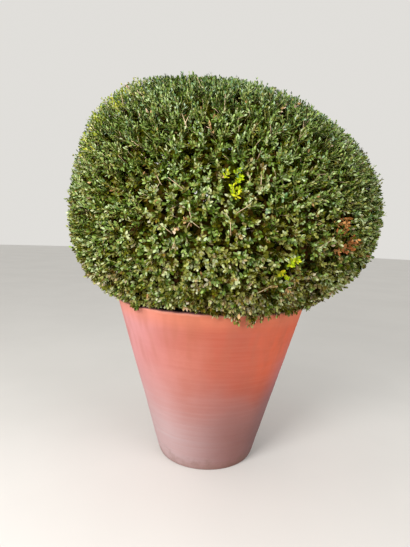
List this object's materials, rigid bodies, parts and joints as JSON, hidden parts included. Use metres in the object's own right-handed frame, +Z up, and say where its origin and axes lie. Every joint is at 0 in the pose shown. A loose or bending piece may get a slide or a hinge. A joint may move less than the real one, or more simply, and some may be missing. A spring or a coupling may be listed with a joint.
{
  "type": "box topiary ball",
  "caption": "Clipped box topiary ball, broad and slightly flattened, on a short stem with boughs inside, in a large plain tapered terracotta pot filled with soil.",
  "frame": {"origin": "middle of the pot's flat underside, on the pot's axis", "axes": "+Z up along the pot's axis, -Y towards the front as seen in the picture, +X to the viewer's right"},
  "size_m": [1.5904, 1.5728, 1.9703],
  "materials": {
    "terracotta": "matte",
    "soil": "matte",
    "bark": "matte",
    "leaves": "satin"
  },
  "bodies": {
    "root": {"pot": "terracotta", "soil": "soil", "trunk": "bark", "bough_1": "bark", "bough_2": "bark", "bough_3": "bark", "bough_4": "bark", "bough_5": "bark", "bough_6": "bark", "foliage": "leaves"}
  },
  "joints": []
}
